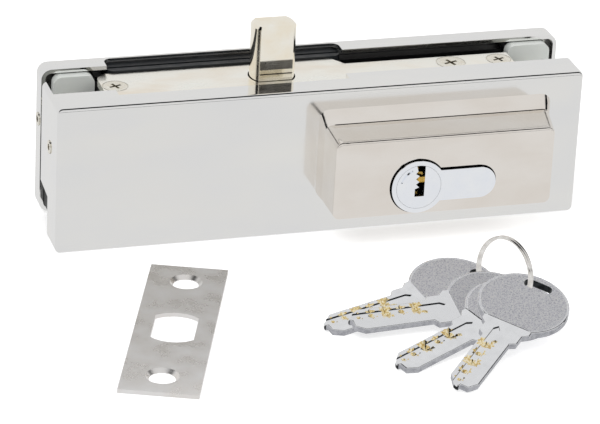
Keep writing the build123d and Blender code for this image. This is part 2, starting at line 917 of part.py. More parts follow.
# Cylinder plug: turns in the body, with the keyway and a small arc cut in its face
keyway_outline = (
    (-1.1, 7.6),
    (1.8, 7.6),
    (1.8, -3.1),
    (-1.2, -3.1),
    (-1.2, -0.6),
    (0.1, -0.1),
    (-0.9, 0.9),
    (0.1, 1.7),
    (-1.0, 2.6),
    (0.1, 3.6),
    (-1.1, 4.4),
    (-0.4, 5.2),
)
with BuildPart() as cylinder_plug:
    rod(
        (plug_place, -cylinder_reach, plug_height),
        (0, 1, 0),
        plug_diameter,
        cylinder_reach + plug_end,
    )
    rod((plug_place, plug_end, plug_height), (0, 1, 0), neck_diameter, cylinder_back + 1.5 - plug_end)
    with BuildSketch(face_plane(-cylinder_reach + keyway_depth)):
        with Locations((plug_place, plug_height)):
            Polygon(*keyway_outline, align=None)
    extrude(amount=keyway_depth + 1, mode=Mode.SUBTRACT)
    for y in pin_rows:
        rod((plug_place + 1.0, y, pin_height), (1, 0, 0), pin_diameter, plug_diameter, Mode.SUBTRACT)
    with BuildSketch(face_plane(-cylinder_reach + 0.5)):
        with BuildLine():
            CenterArc((plug_place, plug_height), 5.5, 112, 52)
            CenterArc((plug_place, plug_height), 6.1, 112, 52)
            for turn in (112, 164):
                reach = (cos(radians(turn)), sin(radians(turn)))
                Line(
                    (plug_place + 5.5 * reach[0], plug_height + 5.5 * reach[1]),
                    (plug_place + 6.1 * reach[0], plug_height + 6.1 * reach[1]),
                )
        make_face()
    extrude(amount=1.0, mode=Mode.SUBTRACT)
    rod((plug_place, cylinder_back + 0.1, plug_height), (0, 1, 0), neck_diameter + 4, 0.9, Mode.SUBTRACT)
    rod((plug_place, cylinder_back + 0.1, plug_height), (0, 1, 0), neck_diameter - 1.2, 0.9)
finish(cylinder_plug, "cylinder_plug")

# Plug clip: an open ring in the groove at the rear of the plug
with BuildPart() as plug_clip:
    with BuildSketch(face_plane(cylinder_back + 0.95)):
        with Locations((plug_place, plug_height)):
            Circle(neck_diameter / 2 + 1.2)
            Circle(neck_diameter / 2 - 0.6, mode=Mode.SUBTRACT)
        with Locations((plug_place, plug_height - neck_diameter / 2)):
            Rectangle(4.0, 4.0, mode=Mode.SUBTRACT)
    extrude(amount=0.8)
finish(plug_clip, "plug_clip")

# Cylinder cam: a hub in the slot of the cylinder, with one finger that drives the talon
with BuildPart() as cylinder_cam:
    rod(
        (plug_place, -cam_slot / 2 + cam_fit, plug_height),
        (0, 1, 0),
        cam_hub,
        cam_slot - 2 * cam_fit,
    )
    with BuildSketch(face_plane(finger_depth / 2)):
        with Locations(Location((plug_place, plug_height, 0), (0, 0, 180 - cam_swing))):
            with Locations((finger_reach / 2, 0)):
                Rectangle(finger_reach, finger_width)
            with Locations((finger_reach, 0)):
                Circle(finger_radius)
    extrude(amount=finger_depth)
    rod((plug_place, -cam_slot, plug_height), (0, 1, 0), neck_diameter, 2 * cam_slot, Mode.SUBTRACT)
finish(cylinder_cam, "cylinder_cam")

# Pins: brass key pins in the plug, steel driver pins and springs behind them in the body
with BuildPart() as key_pins:
    for y in pin_rows:
        rod(
            (plug_place + 0.4, y, pin_height),
            (1, 0, 0),
            pin_diameter - 0.1,
            sqrt((plug_diameter / 2) ** 2 - (pin_height - plug_height + pin_diameter / 2) ** 2) - 0.5,
        )
finish(key_pins, "key_pins")

driver_start = plug_place + plug_diameter / 2 + plug_fit + 0.1
with BuildPart() as driver_pins:
    for y in pin_rows:
        rod((driver_start, y, pin_height), (1, 0, 0), pin_diameter - 0.1, 4.0)
finish(driver_pins, "driver_pins")

with BuildPart() as pin_springs:
    for y in pin_rows:
        start = (driver_start + 4.1, y, pin_height)
        rod(start, (1, 0, 0), pin_diameter - 0.2, chamber_end - driver_start - 4.2)
        rod(start, (1, 0, 0), pin_diameter - 0.9, chamber_end - driver_start - 4.2, Mode.SUBTRACT)
finish(pin_springs, "pin_springs")

# Strike plate: flat steel with two countersunk holes and a mouth for the bolt
with BuildPart() as strike_plate:
    strike_plane = Plane(
        origin=(strike_x, strike_y, 0), x_dir=(cos(radians(strike_turn)), sin(radians(strike_turn)), 0)
    )
    with BuildSketch(strike_plane):
        Rectangle(strike_width, strike_length)
        with BuildSketch(mode=Mode.PRIVATE) as mouth:
            Circle(strike_mouth_length / 2)
            Rectangle(strike_mouth_width, strike_mouth_length, mode=Mode.INTERSECT)
        add(mouth.sketch, mode=Mode.SUBTRACT)
    extrude(amount=strike_thickness)
    with Locations(strike_plane.offset(strike_thickness)):
        with Locations((0, strike_hole_pitch / 2), (0, -strike_hole_pitch / 2)):
            CounterSinkHole(strike_hole / 2, strike_sink / 2, strike_thickness, 90)
finish(strike_plate, "strike_plate")


# Key: a round head with one flat, a shouldered neck, and a blade whose far half carries a
# groove with a row of dimples and reaches past the near half
with BuildPart() as key_blank:
    with BuildSketch():
        Circle(key_head / 2)
        with Locations((-key_flat - key_head / 2, 0)):
            Rectangle(key_head, key_head, mode=Mode.SUBTRACT)
        with Locations((key_hole_reach, key_hole_offset)):
            SlotOverall(key_hole_length, key_hole_width, rotation=90, mode=Mode.SUBTRACT)
    extrude(amount=key_thickness)
    with BuildSketch(Plane.XY.offset(key_step)):
        half_blade = key_blade_width / 2
        neck_taper = (key_shoulder_width - key_neck_width) / 2
        with BuildLine():
            Polyline(
                (-key_flat + 1, key_shoulder_width / 2),
                (-key_flat - 1.5, key_shoulder_width / 2),
                (-key_flat - 1.5 - neck_taper, key_neck_width / 2),
                (-key_neck_end, key_neck_width / 2),
                (-key_neck_end - 1.2, half_blade),
                (-key_reach + key_tip_length, half_blade),
                (-key_reach + 0.4, half_blade - key_tip_side),
                (-key_reach, half_blade - key_tip_nose),
                (-key_reach, 0.2),
                (-key_reach + key_tip_step, 0),
                (-key_reach + key_tip_step, -half_blade + 1.8),
                (-key_reach + key_tip_step + 2.9, -half_blade),
                (-key_neck_end - 1.2, -half_blade),
                (-key_neck_end, -key_neck_width / 2),
                (-key_flat - 1.5 - neck_taper, -key_neck_width / 2),
                (-key_flat - 1.5, -key_shoulder_width / 2),
                (-key_flat + 1, -key_shoulder_width / 2),
                close=True,
            )
        make_face()
    extrude(amount=key_thickness - 2 * key_step)
    blade_face = key_thickness - key_step
    block(
        -key_reach - 1,
        -key_flat,
        key_groove_offset - key_groove_width / 2,
        key_groove_offset + key_groove_width / 2,
        blade_face - key_groove_depth,
        key_thickness,
        Mode.SUBTRACT,
    )
    for place in range(5):
        mouth = dimple_small if place % 2 else dimple_large
        with Locations((-dimple_start - place * dimple_pitch, key_groove_offset, blade_face)):
            Cone(
                0.5,
                mouth / 2,
                key_groove_depth + 0.4,
                align=(Align.CENTER, Align.CENTER, Align.MAX),
                mode=Mode.SUBTRACT,
            )

# Keys: a fan of four on one ring, each head resting on the one below it. Each row holds the
# place of the head's centre, the heading of the blade, its tilt and its roll.
key_places = (
    (24.75, -72.0, 4.0, 14.5, 4.8, 10.8),
    (31.95, -84.3, 4.1, 3.2, 0.9, 15.8),
    (35.35, -92.1, 5.8, 24.5, 7.2, 10.1),
    (38.05, -94.8, 8.3, 46.5, 10.0, 9.7),
)
for number, (x, y, z, heading, tilt, roll) in enumerate(key_places, start=1):
    with BuildPart() as key:
        with Locations(Location((x, y, z), (0, 0, heading))):
            with Locations(Location((0, 0, 0), (0, -tilt, 0))):
                with Locations(Location((0, 0, 0), (roll, 0, 0))):
                    add(key_blank.part)
    finish(key, "key_" + str(number))

# Key ring: two turns of wire pressed together, standing on edge through the key holes
ring_centre = (38.35, -77.4, 11.3)
ring_heading = radians(-65.1)
ring_lean = radians(8.1)
ring_up = (
    -sin(ring_heading) * sin(ring_lean),
    cos(ring_heading) * sin(ring_lean),
    cos(ring_lean),
)
ring_plane = Plane(
    origin=ring_centre, x_dir=ring_up, z_dir=(-cos(ring_heading), -sin(ring_heading), 0)
)
with BuildPart() as key_ring:
    with BuildSketch(ring_plane):
        with Locations((ring_radius, ring_wire / 2 - ring_squeeze / 2)):
            Circle(ring_wire / 2)
        with Locations((ring_radius, -ring_wire / 2 + ring_squeeze / 2)):
            Circle(ring_wire / 2)
    revolve(axis=Axis(ring_centre, ring_plane.y_dir), revolution_arc=360)
finish(key_ring, "key_ring")
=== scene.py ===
import math

import bpy
from mathutils import Matrix, Vector


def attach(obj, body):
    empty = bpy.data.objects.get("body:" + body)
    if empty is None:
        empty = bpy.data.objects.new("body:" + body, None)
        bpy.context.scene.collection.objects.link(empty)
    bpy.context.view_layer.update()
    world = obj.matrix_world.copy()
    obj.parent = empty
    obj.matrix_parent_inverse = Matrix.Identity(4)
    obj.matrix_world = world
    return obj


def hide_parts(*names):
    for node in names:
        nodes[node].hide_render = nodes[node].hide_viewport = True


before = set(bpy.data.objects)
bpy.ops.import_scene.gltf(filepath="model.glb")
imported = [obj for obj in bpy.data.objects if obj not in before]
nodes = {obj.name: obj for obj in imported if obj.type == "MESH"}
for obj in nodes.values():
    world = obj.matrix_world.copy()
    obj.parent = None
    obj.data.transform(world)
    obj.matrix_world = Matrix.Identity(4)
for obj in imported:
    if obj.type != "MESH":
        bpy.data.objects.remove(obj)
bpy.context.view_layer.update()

MM = 0.001

# Camera: the photograph's own viewing angle, through a long lens from the front left
# and above, so that the lock's uprights stay nearly parallel.
CAMERA_PLACE = (-303.15 * MM, -953.17 * MM, 467.21 * MM)
CAMERA_HEADING = math.radians(-17.88)
CAMERA_PITCH = math.radians(90 - 25.51)
CAMERA_ROLL = math.radians(3.08)

scene = bpy.context.scene
scene.view_settings.view_transform = "Standard"
turn = (
    Matrix.Rotation(CAMERA_HEADING, 4, "Z")
    @ Matrix.Rotation(CAMERA_PITCH, 4, "X")
    @ Matrix.Rotation(CAMERA_ROLL, 4, "Z")
)
bpy.ops.object.camera_add(location=CAMERA_PLACE, rotation=turn.to_euler())
camera = bpy.context.object
camera.data.sensor_width = 36
camera.data.lens = 213.65
camera.data.shift_x = -0.0243
camera.data.shift_y = 0.0429
camera.data.clip_start = 0.05
camera.data.clip_end = 30
scene.camera = camera


# Studio: a white tent over a white paper table. Two dark gaps, in the tent's roof and round
# the camera, show in polished bends as thin lines. Mirrored white is kept below full and the
# metals' tints high to match, so that the mirror image of a mirror image stays bright.
WHITE = "#ffffff"
TENT_LIGHT = 0.55
MIRRORED_LIGHT = 0.8
PAPER_GLOW = 0.44
# A gap's two limits and its soft edge, as the height of a ray in degrees: 0 is level to the
# back, 90 is straight up and 180 is level to the front.
ROOF_GAP = (64, 101, 2)
CAMERA_GAP = (152.5, 158, 1)


def colour(text):
    """An sRGB hex colour as linear RGBA."""
    parts = [int(text[i : i + 2], 16) / 255 for i in (1, 3, 5)]
    return [c / 12.92 if c <= 0.04045 else ((c + 0.055) / 1.055) ** 2.4 for c in parts] + [1.0]


def add_node(tree, kind, settings=None, **links):
    """Adds a shader node, sets its fields and inputs, and links the named inputs.

    A link is named after its input, with _ for a space, or n and the input's number.
    """
    node = tree.nodes.new(kind)
    for key, value in (settings or {}).items():
        if isinstance(key, str) and hasattr(node, key):
            setattr(node, key, value)
        else:
            node.inputs[key].default_value = value
    for key, socket in links.items():
        name = key.replace("_", " ")
        tree.links.new(socket, node.inputs[int(name[1:]) if name[1:].isdigit() else name])
    return node


def band(tree, value, low, high, soft):
    """1 where a value lies between two limits, fading to 0 over a soft edge."""
    rise = add_node(
        tree,
        "ShaderNodeMapRange",
        {"interpolation_type": "SMOOTHSTEP", "From Min": low - soft, "From Max": low + soft},
        Value=value,
    )
    fall = add_node(
        tree,
        "ShaderNodeMapRange",
        {
            "interpolation_type": "SMOOTHSTEP",
            "From Min": high - soft,
            "From Max": high + soft,
            "To Min": 1.0,
            "To Max": 0.0,
        },
        Value=value,
    )
    both = add_node(
        tree,
        "ShaderNodeMath",
        {"operation": "MULTIPLY"},
        n0=rise.outputs[0],
        n1=fall.outputs[0],
    )
    return both.outputs[0]


world = bpy.data.worlds.new("white_tent")
scene.world = world
world.use_nodes = True
tree = world.node_tree
tree.nodes.clear()
ray = add_node(tree, "ShaderNodeLightPath")
toward = add_node(tree, "ShaderNodeTexCoord")
axes = add_node(tree, "ShaderNodeSeparateXYZ", Vector=toward.outputs["Generated"])
height = add_node(
    tree,
    "ShaderNodeMath",
    {"operation": "ARCTAN2"},
    n0=axes.outputs["Z"],
    n1=axes.outputs["Y"],
)
height = add_node(
    tree, "ShaderNodeMath", {"operation": "MULTIPLY", 1: 180 / math.pi}, n0=height.outputs[0]
)
gaps = add_node(
    tree,
    "ShaderNodeMath",
    {"operation": "MAXIMUM"},
    n0=band(tree, height.outputs[0], *ROOF_GAP),
    n1=band(tree, height.outputs[0], *CAMERA_GAP),
)
tent = add_node(
    tree,
    "ShaderNodeMix",
    {"data_type": "RGBA", 6: colour(WHITE), 7: colour("#0c0d12")},
    Factor=gaps.outputs[0],
)
plain = add_node(
    tree, "ShaderNodeBackground", {"Color": colour(WHITE), "Strength": TENT_LIGHT}
)
mirrored = add_node(
    tree, "ShaderNodeBackground", {"Strength": MIRRORED_LIGHT}, Color=tent.outputs[2]
)
behind = add_node(tree, "ShaderNodeBackground", {"Color": colour(WHITE), "Strength": 1.0})
sharp = add_node(
    tree,
    "ShaderNodeMath",
    {"operation": "MAXIMUM"},
    n0=ray.outputs["Is Glossy Ray"],
    n1=ray.outputs["Is Transmission Ray"],
)
lit = add_node(
    tree,
    "ShaderNodeMixShader",
    n0=sharp.outputs[0],
    n1=plain.outputs[0],
    n2=mirrored.outputs[0],
)
sky = add_node(
    tree,
    "ShaderNodeMixShader",
    n0=ray.outputs["Is Camera Ray"],
    n1=lit.outputs[0],
    n2=behind.outputs[0],
)
add_node(tree, "ShaderNodeOutputWorld", Surface=sky.outputs[0])

# The paper is white to the camera and to the metal, and still takes the object's shadow.
bpy.ops.mesh.primitive_plane_add(size=6)
floor = bpy.context.object
floor.name = "paper_table"
paper = bpy.data.materials.new("white_paper")
paper.use_nodes = True
tree = paper.node_tree
shader = tree.nodes["Principled BSDF"]
shader.inputs["Base Color"].default_value = colour("#f2f2f2")
shader.inputs["Roughness"].default_value = 0.9
shader.inputs["Specular IOR Level"].default_value = 0.1
shader.inputs["Emission Color"].default_value = colour(WHITE)
ray = add_node(tree, "ShaderNodeLightPath")
seen = add_node(
    tree,
    "ShaderNodeMath",
    {"operation": "MULTIPLY", 1: PAPER_GLOW},
    n0=ray.outputs["Is Camera Ray"],
)
tree.links.new(seen.outputs[0], shader.inputs["Emission Strength"])
bright = add_node(
    tree, "ShaderNodeEmission", {"Color": colour(WHITE), "Strength": MIRRORED_LIGHT}
)
both = add_node(
    tree,
    "ShaderNodeMixShader",
    n0=ray.outputs["Is Glossy Ray"],
    n1=shader.outputs[0],
    n2=bright.outputs[0],
)
tree.links.new(both.outputs[0], tree.nodes["Material Output"].inputs["Surface"])
floor.data.materials.append(paper)

LAMP_AIM = Vector((0, 0, 0.02))


def lamp(name, place, size, power):
    """A soft rectangular lamp, left out of mirror images so that no hard patch shows in them."""
    bpy.ops.object.light_add(type="AREA", location=place)
    item = bpy.context.object
    item.name = name
    item.data.energy = power
    item.data.shape = "RECTANGLE"
    item.data.size, item.data.size_y = size
    item.rotation_euler = (LAMP_AIM - Vector(place)).to_track_quat("-Z", "Y").to_euler()
    item.visible_glossy = False


lamp("key_light", (-0.5, -0.6, 1.1), (1.1, 0.8), 9)
lamp("fill_light", (0.9, -0.4, 0.8), (0.9, 0.8), 4)


# Covers: the two long pressed shells, of stainless steel 1.2 mm thick, bent on a press and
# mirror polished afterwards, which leaves a slight haze and fine lines along the lock. These
# lines, and those of the other metals below, are drawn coarser than real, so that they show.
def metal(name, metallic=1.0, roughness=0.5):
    """A material with a Principled shader; returns it with its tree and its shader."""
    item = bpy.data.materials.new(name)
    item.use_nodes = True
    shader = item.node_tree.nodes["Principled BSDF"]
    shader.inputs["Metallic"].default_value = metallic
    shader.inputs["Roughness"].default_value = roughness
    return item, item.node_tree, shader


def relief(tree, shader, size, height, stretch=(1, 1, 1)):
    """Surface relief from a noise of a real size, with its height, both in mm."""
    place = add_node(tree, "ShaderNodeTexCoord")
    scaled = add_node(
        tree, "ShaderNodeMapping", {"Scale": stretch}, Vector=place.outputs["Object"]
    )
    noise = add_node(
        tree,
        "ShaderNodeTexNoise",
        {"Scale": 1 / (size * MM), "Detail": 4.0},
        Vector=scaled.outputs[0],
    )
    bump = add_node(
        tree, "ShaderNodeBump", {"Distance": height * MM}, Height=noise.outputs["Fac"]
    )
    tree.links.new(bump.outputs["Normal"], shader.inputs["Normal"])


def gloss(tree, shader, size, low, high, stretch=(1, 1, 1)):
    """Roughness that drifts between two values over patches of a real size, in mm."""
    place = add_node(tree, "ShaderNodeTexCoord")
    scaled = add_node(
        tree, "ShaderNodeMapping", {"Scale": stretch}, Vector=place.outputs["Object"]
    )
    noise = add_node(
        tree,
        "ShaderNodeTexNoise",
        {"Scale": 1 / (size * MM), "Detail": 5.0},
        Vector=scaled.outputs[0],
    )
    drift = add_node(
        tree,
        "ShaderNodeMapRange",
        {"From Min": 0.35, "From Max": 0.65, "To Min": low, "To Max": high},
        Value=noise.outputs["Fac"],
    )
    tree.links.new(drift.outputs[0], shader.inputs["Roughness"])
    return noise.outputs["Fac"]


def tints(tree, shader, fac, *stops):
    """Base colour along a ramp of (place, hex colour) stops."""
    ramp = add_node(tree, "ShaderNodeValToRGB", Fac=fac)
    bar = ramp.color_ramp.elements
    while len(bar) < len(stops):
        bar.new(0.5)
    for stop, (place, tint) in zip(bar, stops):
        stop.position = place
    for stop, (place, tint) in zip(bar, stops):
        stop.color = colour(tint)
    tree.links.new(ramp.outputs["Color"], shader.inputs["Base Color"])


def finish(name, grain, shine, *stops, metallic=1.0):
    """A material with relief, and with gloss and tint that drift over the same patches.

    grain holds what relief takes after the shader, and shine what gloss takes.
    """
    item, tree, shader = metal(name, metallic)
    relief(tree, shader, *grain)
    patches = gloss(tree, shader, *shine)
    tints(tree, shader, patches, *stops)
    return item


def dress(item, *names):
    """Puts a material on every slot of the named CAD nodes."""
    for name in names:
        for slot in nodes[name].material_slots:
            slot.material = item


polished = finish(
    "polished_stainless",
    (0.5, 0.0004, (0.03, 1, 1)),
    (14, 0.07, 0.13, (0.4, 1, 1)),
    (0.3, "#ececec"),
    (0.7, "#f2f1ee"),
)
dress(polished, "front_cover", "rear_cover")

# Housing: the box that stands round the cylinder, of the same sheet but polished by hand
# after its seam was closed, so its mirror is warmer and a little wavy.
hand_polished = finish(
    "hand_polished_stainless",
    (0.6, 0.0004, (0.05, 1, 1)),
    (9, 0.05, 0.1, (0.5, 1, 1)),
    (0.3, "#eae3db"),
    (0.7, "#f1ece6"),
)
dress(hand_polished, "cylinder_housing")

# Clamp plates: aluminium castings, coloured black as painted shade for the dark inside
# the covers, with the top of the end bosses left bare and tumbled, so they read as pale
# matt blocks in a black channel. The bolt guide, a zinc casting in the case, gets the
# same painted shade.
BOSS_MIDDLE = 0.6 * MM
BOSS_NEAR, BOSS_FAR = 64.6 * MM, 79.9 * MM
BOSS_FOOT = 20.0 * MM
BOSS_HALF_DEPTH = 11.0 * MM
SHADE_EDGE = 0.02 * MM
BARE_METALLIC = 0.2

cast, tree, shader = metal("casting_painted_shade")
relief(tree, shader, 0.5, 0.015)
place = add_node(tree, "ShaderNodeTexCoord")
axes = add_node(tree, "ShaderNodeSeparateXYZ", Vector=place.outputs["Object"])
across = add_node(
    tree, "ShaderNodeMath", {"operation": "SUBTRACT", 1: BOSS_MIDDLE}, n0=axes.outputs["X"]
)
across = add_node(tree, "ShaderNodeMath", {"operation": "ABSOLUTE"}, n0=across.outputs[0])
ends = band(tree, across.outputs[0], BOSS_NEAR, BOSS_FAR, SHADE_EDGE)
above = add_node(
    tree, "ShaderNodeMath", {"operation": "GREATER_THAN", 1: BOSS_FOOT}, n0=axes.outputs["Z"]
)
unshaded_boss = add_node(tree, "ShaderNodeMath", {"operation": "MULTIPLY"}, n0=above.outputs[0], n1=ends)
depth = add_node(tree, "ShaderNodeMath", {"operation": "ABSOLUTE"}, n0=axes.outputs["Y"])
inner = add_node(
    tree,
    "ShaderNodeMath",
    {"operation": "LESS_THAN", 1: BOSS_HALF_DEPTH},
    n0=depth.outputs[0],
)
unshaded_boss = add_node(
    tree,
    "ShaderNodeMath",
    {"operation": "MULTIPLY"},
    n0=unshaded_boss.outputs[0],
    n1=inner.outputs[0],
)
# Painted shade: black wherever the boss mask is 0, while the boss tops keep the casting's pale
# grey.
tints(tree, shader, unshaded_boss.outputs[0], (0.0, "#08090a"), (1.0, "#e3e6e2"))
metallic = add_node(
    tree, "ShaderNodeMath", {"operation": "MULTIPLY", 1: BARE_METALLIC}, n0=unshaded_boss.outputs[0]
)
tree.links.new(metallic.outputs[0], shader.inputs["Metallic"])
dress(cast, "front_clamp_plate", "rear_clamp_plate", "bolt_guide")

# Gaskets and notch seal: black rubber with a slight satin gloss. The gaskets are cut from
# sheet and glued to the plates, and the seal is a moulded bar, pressed into the notch.
rubber = finish(
    "moulded_rubber",
    (0.4, 0.01),
    (3, 0.38, 0.55),
    (0.3, "#0b0d10"),
    (0.7, "#1a1e22"),
    metallic=0.0,
)
dress(rubber, "front_gasket", "rear_gasket", "notch_seal")

# Lock case: folded from steel sheet and painted black, and closed by a flat cover that four
# small screws hold.
painted = finish(
    "painted_steel",
    (0.6, 0.012),
    (4, 0.28, 0.45),
    (0.3, "#0c0c0c"),
    (0.7, "#171716"),
    metallic=0.0,
)
dress(painted, "lock_case", "case_cover")

# Forend strip: a flat steel strip, polished along its length to a warm satin, with faint
# stains, and screwed to the top of the case.
satin = finish(
    "polished_steel_strip",
    (0.5, 0.0002, (0.05, 1, 1)),
    (9, 0.2, 0.28, (0.5, 1, 1)),
    (0.28, "#f7eedf"),
    (0.5, "#fdfaf1"),
    (0.72, "#fdfdf6"),
)
dress(satin, "forend_strip")

# Screws: cold headed from steel wire, zinc plated and passivated, which leaves a slightly
# grained, warm grey head.
zinc = finish(
    "zinc_plated_steel",
    (0.4, 0.0006),
    (1.5, 0.2, 0.34),
    (0.3, "#e8e1d1"),
    (0.7, "#f9f6ec"),
)
dress(
    zinc,
    "clamp_screws",
    "front_grub_screws",
    "rear_grub_screws",
    "housing_screws",
    "case_screws",
    "forend_screws",
    "cylinder_screw",
)

# Works inside the case and the cylinder: steel, turned or stamped, left bare and oiled, so
# that the gloss changes over small patches.
steel = finish(
    "oiled_steel",
    (0.6, 0.003),
    (2, 0.22, 0.4),
    (0.3, "#a8a69e"),
    (0.7, "#c3c1bd"),
)
dress(
    steel,
    "driver_pins",
    "pin_springs",
    "friction_spring",
    "bolt_tail",
    "bolt_rivet",
    "cylinder_cam",
    "plug_clip",
)

# Bolt head: a turned brass bar with two milled flats, plated with warm nickel and buffed up
# and down.
nickel = finish(
    "nickel_plated_bolt",
    (0.7, 0.0003, (1, 1, 0.1)),
    (5, 0.04, 0.08),
    (0.3, "#faf1de"),
    (0.7, "#fdf9ee"),
)
dress(nickel, "bolt_head")

# Cylinder: body and plug are machined from brass and chrome plated, and come out bluer and
# brighter than the covers.
chrome = finish(
    "chrome_plated_cylinder",
    (1.2, 0.0003),
    (4, 0.05, 0.08),
    (0.3, "#f3f6fc"),
    (0.7, "#f8fafd"),
)
dress(chrome, "cylinder_body", "cylinder_plug")

# Key pins: turned brass, loose in their bores in the plug, and seen only as bright ends in
# the keyway.
brass = finish(
    "turned_brass",
    (0.4, 0.003),
    (1, 0.2, 0.32),
    (0.3, "#cc9e44"),
    (0.7, "#ecc56a"),
)
dress(brass, "key_pins")

# Strike plate: stamped from stainless strip and brushed across, which leaves fine lines and
# faint patches. It lies so near that the covers would mirror it, which the photograph's covers
# don't, so mirror images leave it out.
PATTERN_TURN = math.radians(21)

plate, tree, shader = metal("brushed_stainless_plate")
place = add_node(tree, "ShaderNodeTexCoord")
turned = add_node(
    tree,
    "ShaderNodeMapping",
    {"Rotation": (0, 0, PATTERN_TURN), "Scale": (0.08, 1, 1)},
    Vector=place.outputs["Object"],
)
brushed = add_node(
    tree,
    "ShaderNodeTexNoise",
    {"Scale": 1 / (0.6 * MM), "Detail": 5.0},
    Vector=turned.outputs[0],
)
bump = add_node(
    tree, "ShaderNodeBump", {"Distance": 0.0006 * MM}, Height=brushed.outputs["Fac"]
)
tree.links.new(bump.outputs["Normal"], shader.inputs["Normal"])
patches = gloss(tree, shader, 8, 0.24, 0.36)
tints(tree, shader, patches, (0.25, "#e8e3dd"), (0.5, "#f0edea"), (0.75, "#f6f5f4"))
dress(plate, "strike_plate")
nodes["strike_plate"].visible_glossy = False

# Keys: four dimple keys, stamped from brass, their heads blasted and their blades polished and
# milled with a groove, then nickel plated, and last cut with dimples, down to the brass. One
# key is made flat, in mm, with its head's centre at the origin, and then copied.
KEY_THICK = 2.3
KEY_STEP = 0.15
BLADE_TOP = KEY_THICK - KEY_STEP
HEAD_RADIUS, HEAD_FLAT = 13.4, 11.1
HEAD_POINTS = 72
RIM_LINE_OUTER, RIM_LINE_INNER, RIM_LINE_DEPTH = 12.9, 12.65, 0.06
RIM_EASE, BLADE_EASE = 0.3, 0.22
TIP_START = -43.3
GROOVE_TIP, GROOVE_END, GROOVE_POINT = -44.5, -15.2, -13.6
GROOVE_NEAR, GROOVE_MIDDLE, GROOVE_FAR = 0.6, 1.65, 2.7
GROOVE_DEPTH = 0.7
RING_SLOT_X, RING_SLOT_RADIUS = 9.1, 1.9
RING_SLOT_FAR, RING_SLOT_NEAR = 2.1, -2.9
RING_SLOT_POINTS = 12
# How much of a face's normal has to lie along an axis for the face to count as facing it,
# and how little of it may point up where the face counts as a steep wall.
FACING = 0.5
STEEP = 0.35
# How far a cutter stands out past the surface that it cuts.
OVERSHOOT = 1
# Each dimple's place along and across the blade, its radius and its depth, and its flutes.
DIMPLES = (
    (-22.7, GROOVE_MIDDLE, 2.8, 1.6, 10),
    (-27.35, GROOVE_MIDDLE, 2.0, 1.3, 8),
    (-32.0, GROOVE_MIDDLE, 2.8, 1.6, 10),
    (-36.65, GROOVE_MIDDLE, 2.0, 1.3, 8),
    (-40.6, 1.5, 1.5, 1.1, 7),
    (-20.6, -0.4, 0.5, 0.6, 5),
)
DIMPLE_TIP = 0.12
DIMPLE_RISE, DIMPLE_FLARE = 0.3, 0.6
FLUTE_DRAW = 0.74
# Each key's head centre in mm, then its heading, tilt and roll in degrees.
KEY_PLACES = (
    (24.75, -72.0, 4.0, 14.5, 4.8, 10.8),
    (31.95, -84.3, 4.1, 3.2, 0.9, 15.8),
    (35.35, -92.1, 5.8, 24.5, 7.2, 10.1),
    (38.05, -94.8, 8.3, 46.5, 10.0, 9.7),
)

# The head's blasted grain sparkles, and is drawn coarser than real, so that it shows.
blasted, tree, shader = metal("blasted_nickel_plate")
place = add_node(tree, "ShaderNodeTexCoord")
grit = add_node(
    tree,
    "ShaderNodeTexNoise",
    {"Scale": 1 / (0.45 * MM), "Detail": 2.0, "Roughness": 0.7},
    Vector=place.outputs["Object"],
)
bump = add_node(
    tree,
    "ShaderNodeBump",
    {"Distance": 0.05 * MM, "Strength": 0.8},
    Height=grit.outputs["Fac"],
)
tree.links.new(bump.outputs["Normal"], shader.inputs["Normal"])
tints(tree, shader, grit.outputs["Fac"], (0.38, "#d2d2da"), (0.5, "#f6f6fa"), (0.62, "#ffffff"))

# The blade mirrors the tent, the cuts glint yellow, and the sheared edges are dull
# and coloured darker as painted shade. The walls of the groove and of the ring's slot
# are near black as painted shade, and the far tip's end is near black too, as a
# painted dark reflection.
blade = finish(
    "polished_nickel_plate",
    (0.9, 0.0006),
    (3, 0.07, 0.16),
    (0.3, "#e5e6e8"),
    (0.7, "#f2f3f5"),
)
cut = finish(
    "cut_brass",
    (0.3, 0.001),
    (0.6, 0.12, 0.22),
    (0.36, "#c4a464"),
    (0.5, "#f0daa0"),
    (0.64, "#fff6da"),
)
# Painted shade: the sheared edges' grey is darker than the blade's, besides being rougher.
sheared_and_shade = finish(
    "sheared_nickel_and_shade",
    (0.5, 0.003, (1, 1, 0.15)),
    (1.5, 0.2, 0.36),
    (0.3, "#9b9ca2"),
    (0.7, "#c9cacf"),
)
# Painted shade on the groove and slot walls, and a painted dark reflection on the far tip's end.
painted_darkness = finish(
    "painted_shade_and_dark_reflection",
    (0.4, 0.002),
    (1.5, 0.12, 0.26),
    (0.3, "#141617"),
    (0.7, "#3a3d40"),
)


def pick(item):
    """Makes one object the only selected one, and the active one."""
    bpy.ops.object.select_all(action="DESELECT")
    item.select_set(True)
    bpy.context.view_layer.objects.active = item


def slab(outline, low, high, item, name):
    """A flat plate from its outline, in mm: a ring of points, filled and then extruded."""
    bpy.ops.object.select_all(action="DESELECT")
    bpy.ops.mesh.primitive_circle_add(vertices=len(outline), fill_type="NGON")
    made = bpy.context.object
    made.name = name
    for vertex, (x, y) in zip(made.data.vertices, outline):
        vertex.co = (x * MM, y * MM, low * MM)
    bpy.ops.object.mode_set(mode="EDIT")
    bpy.ops.mesh.select_all(action="SELECT")
    bpy.ops.mesh.extrude_region_move(
        TRANSFORM_OT_translate={"value": (0, 0, (high - low) * MM)}
    )
    bpy.ops.mesh.select_all(action="SELECT")
    bpy.ops.mesh.normals_make_consistent(inside=False)
    bpy.ops.object.mode_set(mode="OBJECT")
    made.data.materials.append(item)
    return made


def repaint(target, item, chosen):
    """Gives an object one more material, on the faces that a test picks."""
    target.data.materials.append(item)
    for face in target.data.polygons:
        if chosen(face):
            face.material_index = len(target.data.materials) - 1


